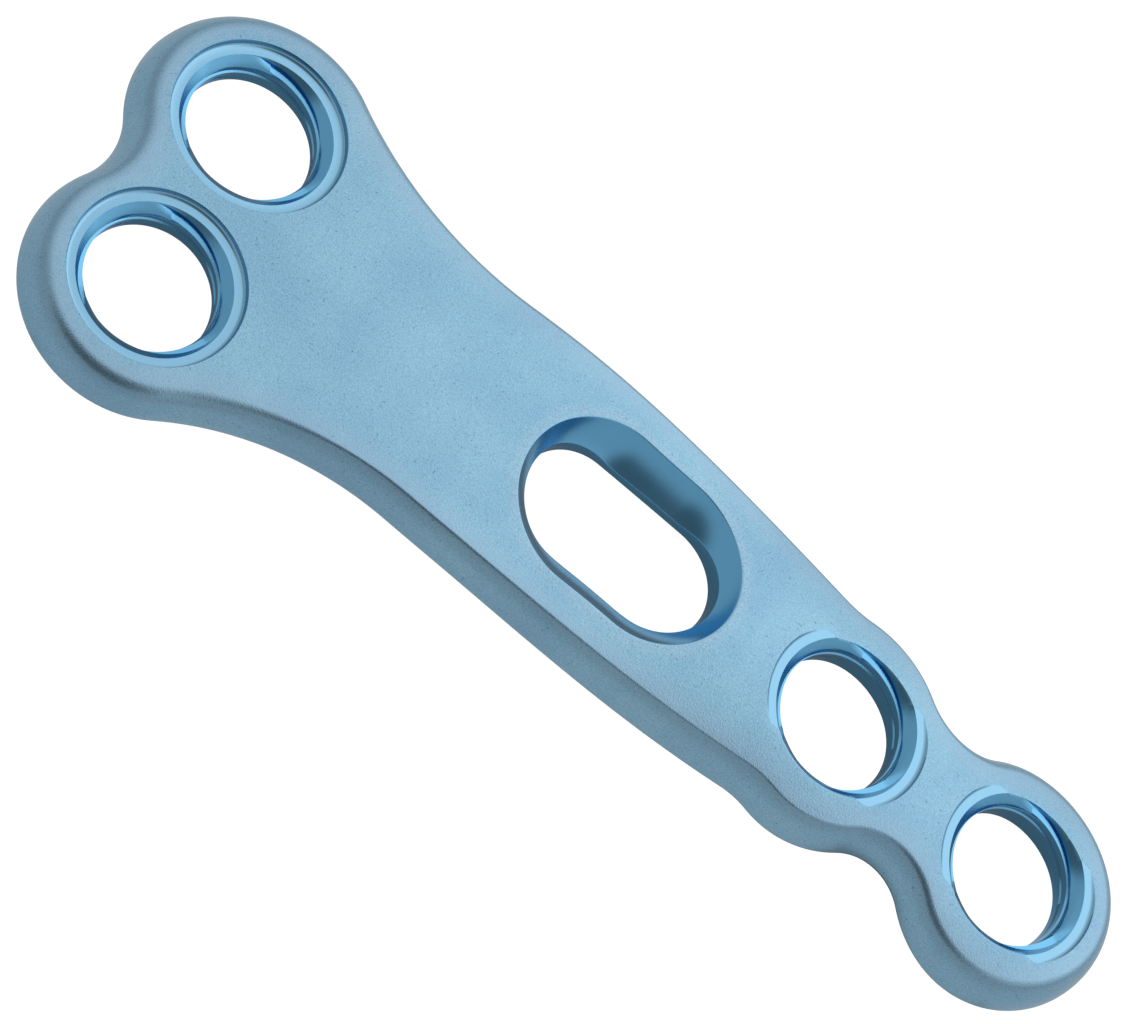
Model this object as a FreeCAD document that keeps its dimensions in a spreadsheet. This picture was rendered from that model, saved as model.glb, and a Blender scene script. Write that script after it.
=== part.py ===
# Small Y-shaped bone plate: one piece of titanium, milled from bar.
# A two-lobed head, a straight shaft with one long slot, and two round holes towards the tail.
# Millimetres. X runs along the plate from the head to the tail, Y is across it, Z is up.
# The origin is half way along, on the middle line, in the plane that the plate rests on.

import FreeCAD, Part
import math
import os
import Sketcher

Vector = FreeCAD.Vector
Rotation = FreeCAD.Rotation

# Driving dimensions: name, millimetres, what it measures.
SIZES = [
    ("plate_length", 30.7, "head end to tail end"),
    ("thickness", 1.03, "top to underside on the middle line"),
    ("arch_radius", 113.0, "bend of the whole plate along its length"),
    ("head_crown_radius", 62.0, "top of the head across the plate"),
    ("tail_crown_radius", 9.8, "top of the tail across the plate"),
    ("head_hollow_radius", 61.0, "underside of the head across the plate"),
    ("tail_hollow_radius", 8.8, "underside of the shaft and tail across the plate"),
    ("crown_change_start", -3.8, "place along the plate where the head's crown ends"),
    ("crown_change_end", 5.6, "place along the plate where the tail's crown begins"),
    ("lobe_radius", 3.1, "round end of each lobe"),
    ("lobe_spacing", 4.96, "between the middles of the two lobes"),
    ("notch_radius", 2.0, "hollow between the lobes"),
    ("flare_radius", 9.2, "hollow from each lobe into the shaft"),
    ("shaft_half_width", 3.45, "middle line to edge at the widest place of the shaft"),
    ("shaft_widest", -2.2, "place along the plate where the shaft is widest"),
    ("shaft_side_radius", 56.5, "slight outward curve of the shaft's sides"),
    ("waist_radius", 2.7, "hollow between the shaft's side and the shoulder"),
    ("shoulder_radius", 2.99, "round shoulder about the inner hole"),
    ("shoulder_place", 6.68, "middle of the shoulder along the plate"),
    ("neck_radius", 1.6, "hollow of the neck between shoulder and tail"),
    ("tail_radius", 2.96, "round end of the tail"),
    ("top_edge_radius", 0.8, "rounding of the upper edge"),
    ("bottom_edge_radius", 0.18, "rounding of the lower edge"),
    ("head_hole_spacing", 4.91, "between the axes of the two head holes"),
    ("end_hole_distance", 2.95, "plate end to the nearest hole axis, at both ends"),
    ("inner_hole_place", 6.8, "axis of the inner shaft hole along the plate"),
    ("recess_radius", 2.2, "shallow round recess at the top of a hole"),
    ("recess_depth", 0.12, "depth of that recess"),
    ("cone_top_radius", 1.94, "wide end of the tapered seat"),
    ("bore_radius", 1.65, "narrow part of a hole"),
    ("bore_start_depth", 0.53, "depth at which the tapered seat ends"),
    ("slot_length", 5.45, "overall length of the slot's straight wall"),
    ("slot_width", 2.9, "width of the slot's straight wall"),
    ("slot_place", 0.0, "middle of the slot along the plate"),
    ("slot_ball_radius", 2.67, "ball that shapes the slot's hollow seat"),
    ("slot_ball_height", 1.4, "middle of that ball above the plate's top"),
    ("slot_ball_travel", 0.82, "half of the way that ball moves along the plate"),
]


def make_sheet(doc):
    """Write the sizes into the spreadsheet, one row each, with an alias."""
    sheet = doc.addObject("Spreadsheet::Sheet", "Sizes")
    for row, (name, value, note) in enumerate(SIZES, start=1):
        sheet.set("A%d" % row, name)
        sheet.set("B%d" % row, str(value))
        sheet.set("C%d" % row, note)
        sheet.setAlias("B%d" % row, name)
    return sheet


def origin_plane(body, role):
    """Give the body's own origin plane that has this role."""
    return next(f for f in body.Origin.OriginFeatures if f.Role == role)


def add_sketch(body, name, plane):
    """Add a sketch on one of the body's own origin planes."""
    sketch = body.newObject("Sketcher::SketchObject", name)
    sketch.AttachmentSupport = [(origin_plane(body, plane), "")]
    sketch.MapMode = "FlatFace"
    return sketch


def bind(sketch, kind, refs, start_value, expression):
    """Add a dimension to a sketch and tie it to the sheet."""
    index = sketch.addConstraint(Sketcher.Constraint(kind, *refs, start_value))
    sketch.setExpression("Constraints[%d]" % index, expression)


def arch_drop(place):
    """Expression: how far the bent middle line has dropped at this place."""
    return "(Sizes.arch_radius - sqrt(Sizes.arch_radius ^ 2 - (%s) ^ 2))" % place


def blend_share(place):
    """Expression: 0 at the head, 1 at the tail, smooth where the crown changes."""
    start = "Sizes.crown_change_start"
    share = "min(1; max(0; ((%s) - %s) / (Sizes.crown_change_end - %s)))" % (place, start, start)
    return "((%s) ^ 2 * (3 - 2 * (%s)))" % (share, share)


def blended_radius(place, head, tail):
    """Expression: radius whose curvature goes smoothly from the head's to the tail's."""
    share = blend_share(place)
    return "1 / ((1 - %s) / Sizes.%s + %s / Sizes.%s)" % (share, head, share, tail)


BLANK_MARGIN = 0.6   # how far the bar reaches past the outline
BLANK_END = "(Sizes.plate_length / 2 + %s)" % BLANK_MARGIN
HEAD_HALF_BLANK = "(Sizes.lobe_spacing / 2 + Sizes.lobe_radius + %s)" % BLANK_MARGIN
TAIL_HALF_BLANK = "(Sizes.shaft_half_width + %s)" % BLANK_MARGIN


def half_blank(place):
    """Expression: half of the bar's width, which narrows evenly to the tail."""
    share = "(%s + (%s)) / (2 * %s)" % (BLANK_END, place, BLANK_END)
    return "%s + (%s - %s) * %s" % (HEAD_HALF_BLANK, TAIL_HALF_BLANK, HEAD_HALF_BLANK, share)


def section_places():
    """Places along the plate where the bar's section is drawn."""
    start = "Sizes.crown_change_start"
    end = "Sizes.crown_change_end"
    places = ["-%s" % BLANK_END, "(%s - %s) / 2" % (start, BLANK_END)]
    for share in (0.0, 0.25, 0.5, 0.75, 1.0):
        places.append("%s + (%s - %s) * %s" % (start, end, start, share))
    places += ["(%s + %s) / 2" % (end, BLANK_END), BLANK_END]
    return places


def cross_section(body, number, place):
    """Draw the bar's section: crowned top, hollow underside, upright sides."""
    sketch = add_sketch(body, "Section%d" % number, "YZ_Plane")
    sketch.setExpression("AttachmentOffset.Base.z", "(%s) * 1 mm" % place)
    sketch.setExpression("AttachmentOffset.Base.y", "-%s * 1 mm" % arch_drop(place))
    # Starting shape only: the dimensions bound below replace these values.
    half, crown, hollow, thick = 5.0, 60.0, 60.0, 1.0
    side_top, side_foot = -0.3, -1.3
    up = Vector(0, 0, 1)

    def arc_over(radius, level):
        reach = math.asin(half / radius)
        circle = Part.Circle(Vector(0, level - radius, 0), up, radius)
        return Part.ArcOfCircle(circle, math.pi / 2 - reach, math.pi / 2 + reach)

    top = sketch.addGeometry(arc_over(crown, 0.0))
    low = sketch.addGeometry(arc_over(hollow, -thick))
    right = sketch.addGeometry(
        Part.LineSegment(Vector(half, side_top, 0), Vector(half, side_foot, 0)))
    left = sketch.addGeometry(
        Part.LineSegment(Vector(-half, side_top, 0), Vector(-half, side_foot, 0)))
    for arc in (top, low):
        sketch.addConstraint(Sketcher.Constraint("PointOnObject", arc, 3, -2))
    for line in (right, left):
        sketch.addConstraint(Sketcher.Constraint("Vertical", line))
    for arc, end_point in ((top, 1), (low, 2)):
        sketch.addConstraint(Sketcher.Constraint("Coincident", right, end_point, arc, 1))
        sketch.addConstraint(Sketcher.Constraint("Coincident", left, end_point, arc, 2))
    bind(sketch, "DistanceX", (-1, 1, right, 1), half, half_blank(place))
    bind(sketch, "DistanceX", (left, 1, -1, 1), half, half_blank(place))
    crown_now = blended_radius(place, "head_crown_radius", "tail_crown_radius")
    hollow_now = blended_radius(place, "head_hollow_radius", "tail_hollow_radius")
    bind(sketch, "Radius", (top,), crown, crown_now)
    bind(sketch, "DistanceY", (top, 3, -1, 1), crown, crown_now)
    bind(sketch, "Radius", (low,), hollow, hollow_now)
    bind(sketch, "DistanceY", (low, 3, -1, 1), hollow + thick, "Sizes.thickness + " + hollow_now)
    return sketch


def crowned_bar(doc, body):
    """Loft the bent, crowned bar through its sections."""
    sections = []
    for number, place in enumerate(section_places(), start=1):
        sections.append(cross_section(body, number, place))
    doc.recompute()
    loft = body.newObject("PartDesign::AdditiveLoft", "CrownedBar")
    loft.Profile = sections[0]
    loft.Sections = sections[1:]
    loft.Ruled = False
    return loft


def touching_circle(first, second, radius):
    """Centre of the circle that touches two circles from outside, on the left of the way."""
    way = second[0] - first[0]
    apart = way.Length
    reach_a = first[1] + radius
    reach_b = second[1] + radius
    along = (reach_a ** 2 - reach_b ** 2 + apart ** 2) / (2 * apart)
    aside = math.sqrt(reach_a ** 2 - along ** 2)
    unit = way / apart
    return first[0] + unit * along + Vector(-unit.y, unit.x, 0) * aside


def outline_circles(size):
    """Circles of the outline, clockwise from the notch: centre, radius, bulges outward."""
    half = size("plate_length") / 2
    lobe = (Vector(size("lobe_radius") - half, size("lobe_spacing") / 2, 0), size("lobe_radius"))
    side_drop = size("shaft_half_width") - size("shaft_side_radius")
    side = (Vector(size("shaft_widest"), side_drop, 0), size("shaft_side_radius"))
    shoulder = (Vector(size("shoulder_place"), 0, 0), size("shoulder_radius"))
    tail = (Vector(half - size("tail_radius"), 0, 0), size("tail_radius"))
    low_lobe = (Vector(lobe[0].x, -lobe[0].y, 0), lobe[1])
    flare = (touching_circle(lobe, side, size("flare_radius")), size("flare_radius"))
    waist = (touching_circle(side, shoulder, size("waist_radius")), size("waist_radius"))
    neck = (touching_circle(shoulder, tail, size("neck_radius")), size("neck_radius"))
    notch = (touching_circle(low_lobe, lobe, size("notch_radius")), size("notch_radius"))
    upper = [lobe, flare, side, waist, shoulder, neck]
    lower = [(Vector(c.x, -c.y, 0), r) for c, r in reversed(upper)]
    outward = [False] + [True, False] * 3 + [True] + [False, True] * 3
    return [c + (o,) for c, o in zip([notch] + upper + [tail] + lower, outward)]


def outline_arcs(circles):
    """Turn the ring of touching circles into arcs that meet where they touch."""
    arcs = []
    for i, (centre, radius, outward) in enumerate(circles):
        before = circles[i - 1]
        after = circles[(i + 1) % len(circles)]
        angles = []
        for other in (before, after):
            way = other[0] - centre
            angles.append(math.atan2(way.y, way.x))
        first, last = (angles[1], angles[0]) if outward else (angles[0], angles[1])
        if last < first:
            last += 2 * math.pi
        arcs.append(Part.ArcOfCircle(Part.Circle(centre, Vector(0, 0, 1), radius), first, last))
    return arcs


def outline_sketch(doc, body, size):
    """Draw the plate's outline inside a larger rectangle, for the cut around it."""
    sketch = add_sketch(body, "Outline", "XY_Plane")
    circles = outline_circles(size)
    ids = sketch.addGeometry(outline_arcs(circles))
    names = ["notch", "lobe", "flare", "side", "waist", "shoulder", "neck", "tail"]
    upper = dict(zip(names, ids))
    lower = dict(zip(names[6:0:-1], ids[8:]))
    for i, arc in enumerate(ids):
        following = (i + 1) % len(ids)
        leaves = 1 if circles[i][2] else 2
        enters = 2 if circles[following][2] else 1
        sketch.addConstraint(Sketcher.Constraint("Tangent", arc, leaves, ids[following], enters))
    for name in names[1:7]:
        sketch.addConstraint(Sketcher.Constraint("Equal", upper[name], lower[name]))
    for name in ("lobe", "side"):
        sketch.addConstraint(Sketcher.Constraint("Symmetric", upper[name], 3, lower[name], 3, -1))
    sketch.addConstraint(Sketcher.Constraint("Coincident", upper["shoulder"], 3, lower["shoulder"], 3))
    for name in ("shoulder", "tail"):
        sketch.addConstraint(Sketcher.Constraint("PointOnObject", upper[name], 3, -1))
    radii = {
        "notch": "notch_radius", "lobe": "lobe_radius", "flare": "flare_radius",
        "side": "shaft_side_radius", "waist": "waist_radius", "shoulder": "shoulder_radius",
        "neck": "neck_radius", "tail": "tail_radius",
    }
    for name, alias in radii.items():
        bind(sketch, "Radius", (upper[name],), size(alias), "Sizes." + alias)
    half = size("plate_length") / 2
    bind(sketch, "DistanceX", (upper["lobe"], 3, -1, 1), half - size("lobe_radius"),
         "Sizes.plate_length / 2 - Sizes.lobe_radius")
    bind(sketch, "DistanceY", (-1, 1, upper["lobe"], 3), size("lobe_spacing") / 2,
         "Sizes.lobe_spacing / 2")
    bind(sketch, "DistanceX", (-1, 1, upper["side"], 3), size("shaft_widest"), "Sizes.shaft_widest")
    bind(sketch, "DistanceY", (upper["side"], 3, -1, 1),
         size("shaft_side_radius") - size("shaft_half_width"),
         "Sizes.shaft_side_radius - Sizes.shaft_half_width")
    bind(sketch, "DistanceX", (-1, 1, upper["shoulder"], 3), size("shoulder_place"),
         "Sizes.shoulder_place")
    bind(sketch, "DistanceX", (-1, 1, upper["tail"], 3), half - size("tail_radius"),
         "Sizes.plate_length / 2 - Sizes.tail_radius")
    frame_rectangle(sketch, size)
    return sketch


def frame_rectangle(sketch, size):
    """Draw the rectangle that holds all of the bar, about the origin."""
    reach_x = size("plate_length") / 2 + 2 * BLANK_MARGIN
    reach_y = size("lobe_spacing") / 2 + size("lobe_radius") + 2 * BLANK_MARGIN
    corners = [Vector(-reach_x, -reach_y, 0), Vector(reach_x, -reach_y, 0),
               Vector(reach_x, reach_y, 0), Vector(-reach_x, reach_y, 0)]
    sides = [Part.LineSegment(corners[i], corners[(i + 1) % 4]) for i in range(4)]
    ids = sketch.addGeometry(sides)
    for i in range(4):
        sketch.addConstraint(Sketcher.Constraint("Coincident", ids[i], 2, ids[(i + 1) % 4], 1))
        sketch.addConstraint(Sketcher.Constraint("Vertical" if i % 2 else "Horizontal", ids[i]))
    sketch.addConstraint(Sketcher.Constraint("Symmetric", ids[0], 1, ids[2], 1, -1, 1))
    bind(sketch, "DistanceX", (ids[0], 1, ids[0], 2), 2 * reach_x,
         "2 * (%s + %s)" % (BLANK_END, BLANK_MARGIN))
    bind(sketch, "DistanceY", (ids[1], 1, ids[1], 2), 2 * reach_y,
         "2 * (%s + %s)" % (HEAD_HALF_BLANK, BLANK_MARGIN))


def finish_cut(doc, feature):
    """Recompute, and stop if the cut took nothing away."""
    doc.recompute()
    if feature.Shape.isNull() or feature.Shape.Volume >= feature.BaseFeature.Shape.Volume:
        raise RuntimeError("%s took nothing away" % feature.Label)


def pocket_both_ways(doc, body, name, sketch):
    """Cut a sketch right through, above and below its plane."""
    pocket = body.newObject("PartDesign::Pocket", name)
    pocket.Profile = sketch
    pocket.SideType = "Symmetric"
    pocket.Type = "ThroughAll"
    finish_cut(doc, pocket)
    return pocket


def rim_edges(shape, upper):
    """Names of the edges round the upper or the lower broad face."""
    broad = sorted(shape.Faces, key=lambda face: face.Area)[-2:]
    broad.sort(key=lambda face: face.CenterOfMass.z)
    rim = broad[1 if upper else 0].Edges
    return ["Edge%d" % number for number, edge in enumerate(shape.Edges, start=1)
            if any(edge.isSame(other) for other in rim)]


def round_rim(doc, body, name, base, alias, upper):
    """Round the upper or the lower edge all the way round the outline."""
    fillet = body.newObject("PartDesign::Fillet", name)
    fillet.Base = (base, rim_edges(base.Shape, upper))
    fillet.setExpression("Radius", "Sizes.%s" % alias)
    finish_cut(doc, fillet)
    return fillet


OVERRUN = 1.0   # how far a cutting shape reaches past the metal


def hole_profile(sketch, size):
    """Draw half of a screw hole's section: recess, tapered seat, bore."""
    deep = size("thickness") + OVERRUN
    corners = [
        (0, OVERRUN), (size("recess_radius"), OVERRUN),
        (size("recess_radius"), -size("recess_depth")),
        (size("cone_top_radius"), -size("recess_depth")),
        (size("bore_radius"), -size("bore_start_depth")),
        (size("bore_radius"), -deep), (0, -deep),
    ]
    count = len(corners)
    points = [Vector(u, v, 0) for u, v in corners]
    lines = sketch.addGeometry([Part.LineSegment(points[i], points[(i + 1) % count])
                                for i in range(count)])
    for i in range(count):
        sketch.addConstraint(
            Sketcher.Constraint("Coincident", lines[i], 2, lines[(i + 1) % count], 1))
    for i, direction in ((0, "Horizontal"), (1, "Vertical"), (2, "Horizontal"),
                         (4, "Vertical"), (5, "Horizontal")):
        sketch.addConstraint(Sketcher.Constraint(direction, lines[i]))
    for end in (1, 2):
        sketch.addConstraint(Sketcher.Constraint("PointOnObject", lines[6], end, -2))
    bind(sketch, "DistanceX", (-1, 1, lines[0], 2), corners[1][0], "Sizes.recess_radius")
    bind(sketch, "DistanceX", (-1, 1, lines[2], 2), corners[3][0], "Sizes.cone_top_radius")
    bind(sketch, "DistanceX", (-1, 1, lines[3], 2), corners[4][0], "Sizes.bore_radius")
    bind(sketch, "DistanceY", (-1, 1, lines[0], 1), OVERRUN, "%s" % OVERRUN)
    bind(sketch, "DistanceY", (lines[1], 2, -1, 1), -corners[2][1], "Sizes.recess_depth")
    bind(sketch, "DistanceY", (lines[3], 2, -1, 1), -corners[4][1], "Sizes.bore_start_depth")
    bind(sketch, "DistanceY", (lines[5], 1, -1, 1), deep, "Sizes.thickness + %s" % OVERRUN)


def screw_hole(doc, body, name, place, aside, crown, size):
    """Turn one screw hole whose axis stands square on the curved top."""
    sketch = add_sketch(body, name + "Section", "XZ_Plane")
    hole_profile(sketch, size)
    side_drop = "(%s - sqrt(%s ^ 2 - (%s) ^ 2))" % (crown, crown, aside)
    sketch.setExpression("AttachmentOffset.Base.x", "(%s) * 1 mm" % place)
    sketch.setExpression("AttachmentOffset.Base.y",
                         "-(%s + %s) * 1 mm" % (arch_drop(place), side_drop))
    sketch.setExpression("AttachmentOffset.Base.z", "-(%s) * 1 mm" % aside)
    sketch.setExpression("AttachmentOffset.Rotation.Yaw",
                         "-asin((%s) / Sizes.arch_radius)" % place)
    sketch.setExpression("AttachmentOffset.Rotation.Roll", "-asin((%s) / %s)" % (aside, crown))
    groove = body.newObject("PartDesign::Groove", name)
    groove.Profile = sketch
    groove.ReferenceAxis = (sketch, ["V_Axis"])
    groove.Angle = 360
    finish_cut(doc, groove)


def screw_holes(doc, body, size):
    """Turn the two head holes, the inner shaft hole and the tail hole."""
    near_end = "Sizes.plate_length / 2 - Sizes.end_hole_distance"
    half_spacing = "Sizes.head_hole_spacing / 2"
    head_crown = "Sizes.head_crown_radius"
    tail_crown = "Sizes.tail_crown_radius"
    holes = [
        ("HeadHoleLeft", "-(%s)" % near_end, half_spacing, head_crown),
        ("HeadHoleRight", "-(%s)" % near_end, "-" + half_spacing, head_crown),
        ("InnerHole", "Sizes.inner_hole_place", "0", tail_crown),
        ("TailHole", near_end, "0", tail_crown),
    ]
    for name, place, aside, crown in holes:
        screw_hole(doc, body, name, place, aside, crown, size)


def slot_wall(doc, body, size):
    """Cut the slot's straight wall right through the shaft."""
    sketch = add_sketch(body, "SlotShape", "XY_Plane")
    sketch.setExpression("AttachmentOffset.Base.x", "Sizes.slot_place * 1 mm")
    radius = size("slot_width") / 2
    reach = size("slot_length") / 2 - radius
    up = Vector(0, 0, 1)
    right = sketch.addGeometry(Part.ArcOfCircle(
        Part.Circle(Vector(reach, 0, 0), up, radius), -math.pi / 2, math.pi / 2))
    left = sketch.addGeometry(Part.ArcOfCircle(
        Part.Circle(Vector(-reach, 0, 0), up, radius), math.pi / 2, 3 * math.pi / 2))
    top = sketch.addGeometry(Part.LineSegment(Vector(reach, radius, 0), Vector(-reach, radius, 0)))
    low = sketch.addGeometry(Part.LineSegment(Vector(-reach, -radius, 0), Vector(reach, -radius, 0)))
    for arc, arc_end, line, line_end in ((right, 2, top, 1), (left, 1, top, 2),
                                         (left, 2, low, 1), (right, 1, low, 2)):
        sketch.addConstraint(Sketcher.Constraint("Tangent", arc, arc_end, line, line_end))
    sketch.addConstraint(Sketcher.Constraint("Equal", right, left))
    sketch.addConstraint(Sketcher.Constraint("Symmetric", right, 3, left, 3, -1, 1))
    sketch.addConstraint(Sketcher.Constraint("PointOnObject", right, 3, -1))
    bind(sketch, "Radius", (right,), radius, "Sizes.slot_width / 2")
    bind(sketch, "DistanceX", (left, 3, right, 3), 2 * reach, "Sizes.slot_length - Sizes.slot_width")
    return pocket_both_ways(doc, body, "Slot", sketch)


def slot_seat(doc, body, size):
    """Sink the slot's hollow seat, as a ball moved a short way along the plate."""
    centre_height = "(Sizes.slot_ball_height - %s)" % arch_drop("Sizes.slot_place")
    sketch = add_sketch(body, "BallOutline", "YZ_Plane")
    sketch.setExpression("AttachmentOffset.Base.y", "%s * 1 mm" % centre_height)
    sketch.setExpression("AttachmentOffset.Base.z", "Sizes.slot_place * 1 mm")
    ball = sketch.addGeometry(
        Part.Circle(Vector(0, 0, 0), Vector(0, 0, 1), size("slot_ball_radius")))
    sketch.addConstraint(Sketcher.Constraint("Coincident", ball, 3, -1, 1))
    bind(sketch, "Radius", (ball,), size("slot_ball_radius"), "Sizes.slot_ball_radius")
    trough = body.newObject("PartDesign::Pocket", "BallTrough")
    trough.Profile = sketch
    trough.SideType = "Symmetric"
    trough.Type = "Length"
    trough.setExpression("Length", "2 * Sizes.slot_ball_travel")
    finish_cut(doc, trough)
    for name, sign in (("BallEndHead", "-"), ("BallEndTail", "+")):
        end = body.newObject("PartDesign::SubtractiveSphere", name)
        end.AttachmentSupport = [(origin_plane(body, "XY_Plane"), "")]
        end.MapMode = "FlatFace"
        end.setExpression("AttachmentOffset.Base.x",
                          "(Sizes.slot_place %s Sizes.slot_ball_travel) * 1 mm" % sign)
        end.setExpression("AttachmentOffset.Base.z", "%s * 1 mm" % centre_height)
        end.setExpression("Radius", "Sizes.slot_ball_radius")
        finish_cut(doc, end)


def make_plate(doc, size):
    """Build the whole plate as one body."""
    body = doc.addObject("PartDesign::Body", "Plate")
    body.Label = "bone_plate"
    crowned_bar(doc, body)
    doc.recompute()
    outline = outline_sketch(doc, body, size)
    trimmed = pocket_both_ways(doc, body, "TrimToOutline", outline)
    rounded = round_rim(doc, body, "UpperEdge", trimmed, "top_edge_radius", True)
    round_rim(doc, body, "LowerEdge", rounded, "bottom_edge_radius", False)
    screw_holes(doc, body, size)
    slot_wall(doc, body, size)
    slot_seat(doc, body, size)
    return body


def check(doc, bodies):
    """Stop if any object failed, or if a piece isn't one sound solid."""
    for item in doc.Objects:
        if "Invalid" in item.State or "Error" in item.State:
            raise RuntimeError("%s failed: %s" % (item.Label, item.State))
    for body in bodies:
        if body.Shape.isNull() or not body.Shape.isValid() or len(body.Shape.Solids) != 1:
            raise RuntimeError("%s isn't one sound solid" % body.Label)


SEAT_FINENESS = 0.005   # of the facets that find the plate's lowest point


def main():
    """Build the plate, lay it on the plane at height 0, and write it out."""
    os.makedirs("parts", exist_ok=True)
    doc = FreeCAD.newDocument("bone_plate")
    sheet = make_sheet(doc)
    doc.recompute()
    plate = make_plate(doc, lambda name: float(sheet.get(name)))
    lowest = min(point.z for point in plate.Shape.tessellate(SEAT_FINENESS)[0])
    plate.Placement = FreeCAD.Placement(Vector(0, 0, -lowest), Rotation())
    doc.recompute()
    check(doc, [plate])
    plate.Shape.exportStep("parts/%s.step" % plate.Label)
    print("lowest", round(lowest, 4), "volume", round(plate.Shape.Volume, 3))


main()
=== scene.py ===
import math

import bmesh
import bpy
import numpy as np
from mathutils import Matrix, Vector
from mathutils.geometry import delaunay_2d_cdt


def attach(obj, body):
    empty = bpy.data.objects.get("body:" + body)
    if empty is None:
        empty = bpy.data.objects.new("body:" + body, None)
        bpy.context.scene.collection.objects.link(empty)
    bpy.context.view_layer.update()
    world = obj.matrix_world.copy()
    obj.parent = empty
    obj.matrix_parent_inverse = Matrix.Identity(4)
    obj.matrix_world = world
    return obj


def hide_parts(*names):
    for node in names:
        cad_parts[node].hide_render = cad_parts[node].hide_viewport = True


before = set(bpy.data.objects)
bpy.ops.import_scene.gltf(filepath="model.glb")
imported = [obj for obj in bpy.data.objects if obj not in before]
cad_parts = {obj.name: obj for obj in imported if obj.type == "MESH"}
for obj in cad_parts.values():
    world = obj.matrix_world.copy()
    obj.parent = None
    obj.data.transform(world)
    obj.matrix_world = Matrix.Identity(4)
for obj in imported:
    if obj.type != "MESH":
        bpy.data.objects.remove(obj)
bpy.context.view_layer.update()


# The bent bar. The plate is milled from titanium bar, so its broad faces are crowned across
# and bent along. Both faces are worked out from one arch and from crowns that tighten
# towards the tail. Lengths are millimetres until the mesh is made.

MIDDLE_TOP = 2.2472          # top of the middle line above the resting plane
THICKNESS = 1.03
ARCH_RADIUS = 113.0          # bend along the plate
HEAD_CROWN, TAIL_CROWN = 62.0, 9.8           # rounds of the top face, across the plate
HEAD_HOLLOW, TAIL_HOLLOW = 61.0, 8.8         # rounds of the underside, across the plate
CHANGE_START, CHANGE_END = -3.8, 5.6         # the stretch where both tighten


def arc_drop(offset, radius):
    """Drop of a circle's top at this offset: its radius, less the root of radius squared
    less offset squared."""
    return radius - np.sqrt(np.maximum(radius * radius - offset * offset, 0.0))


def smooth_step(value):
    """3s^2 - 2s^3 with s held between 0 and 1."""
    share = np.clip(value, 0.0, 1.0)
    return share * share * (3.0 - 2.0 * share)


def crown_radius(x, head, tail):
    """Curvature, one over the radius, goes from the head's to the tail's by a smooth step."""
    share = smooth_step((x - CHANGE_START) / (CHANGE_END - CHANGE_START))
    return 1.0 / ((1.0 - share) / head + share / tail)


def top_height(x, y):
    """Middle height, less the arch's drop along x, less the crown's drop across y."""
    crown = crown_radius(x, HEAD_CROWN, TAIL_CROWN)
    return MIDDLE_TOP - arc_drop(x, ARCH_RADIUS) - arc_drop(y, crown)


def underside_height(x, y):
    """The same form one thickness lower, with the hollow's radii."""
    hollow = crown_radius(x, HEAD_HOLLOW, TAIL_HOLLOW)
    return MIDDLE_TOP - THICKNESS - arc_drop(x, ARCH_RADIUS) - arc_drop(y, hollow)


skin_points, skin_faces, skin_tint = [], [], []
TINTS = EDGE_SHEEN, SLOT_SCUFF, MACHINED = 0, 1, 2       # kept for each point of the skin


def add_skin(points, faces, tint):
    """Keep one patch of the plate's skin: its points, its faces, and three tints to a point,
    which are its nearness to an edge, its scuffing and how far it is machined."""
    offset = sum(len(part) for part in skin_points)
    skin_points.append(points)
    skin_faces.append(faces + offset)
    skin_tint.append(tint)


def add_rings(rings, tint):
    """Join a grid of closed rings (ring, place on ring, xyz) with four-sided faces."""
    count, around = rings.shape[:2]
    number = np.arange(count * around).reshape(count, around)
    onward = np.roll(number, -1, axis=1)
    faces = np.stack([number[:-1], onward[:-1], onward[1:], number[1:]], axis=-1).reshape(-1, 4)
    add_skin(rings.reshape(-1, 3), faces, tint.reshape(-1, len(TINTS)))


# The outline and its sides. A cutter follows fourteen touching arcs round the blank. The sides
# lean out from a crisp crest in one wide round, and the foot has a small round.

PLATE_LENGTH = 30.7
LOBE_RADIUS, LOBE_SPACING = 3.1, 4.96
NOTCH_RADIUS, FLARE_RADIUS = 2.0, 9.2
SHAFT_HALF_WIDTH, SHAFT_WIDEST, SIDE_RADIUS = 3.45, -2.2, 56.5
WAIST_RADIUS, NECK_RADIUS = 2.7, 1.6
SHOULDER_RADIUS, SHOULDER_PLACE = 2.99, 6.68
TAIL_RADIUS = 2.96
CREST_INSET, BOTTOM_EDGE = 0.36, 0.18        # way in to the crest; round of the foot
CREST_PLACES = (-10.0, -6.5, 8.0, 11.5)      # along the plate
CREST_ROUNDS = (0.45, 0.12, 0.12, 0.35)      # the crest is crisp on the shaft, soft at the ends
OUTLINE_STEP, FEWEST_STEPS = 0.09, 6         # from point to point; least number to an arc
CREST_ROWS, SIDE_ROWS, FOOT_ROWS = 7, 12, 7  # rows of points over each round
LEAST_LEAN, MOST_LEAN = 0.02, 1.5            # angles between which crest and side touch
PROBE = 0.01                 # half the way over which a slope is measured
PASSES = 4                   # after which a touching place no longer moves
SHEEN_ROWS, SHEEN_SHARES = (0, 8, 17, 24), (1.0, 0.2, 0.1, 0.9)    # from crest to foot


def crossing(lower_end, upper_end, gap, rounds=30):
    """Halve the stretch until the gap between two surfaces vanishes; the gap is positive at
    the lower end."""
    low, high = lower_end.copy(), upper_end.copy()
    for _ in range(rounds):
        middle = 0.5 * (low + high)
        above = gap(middle) > 0
        low, high = np.where(above, middle, low), np.where(above, high, middle)
    return 0.5 * (low + high)


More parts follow.
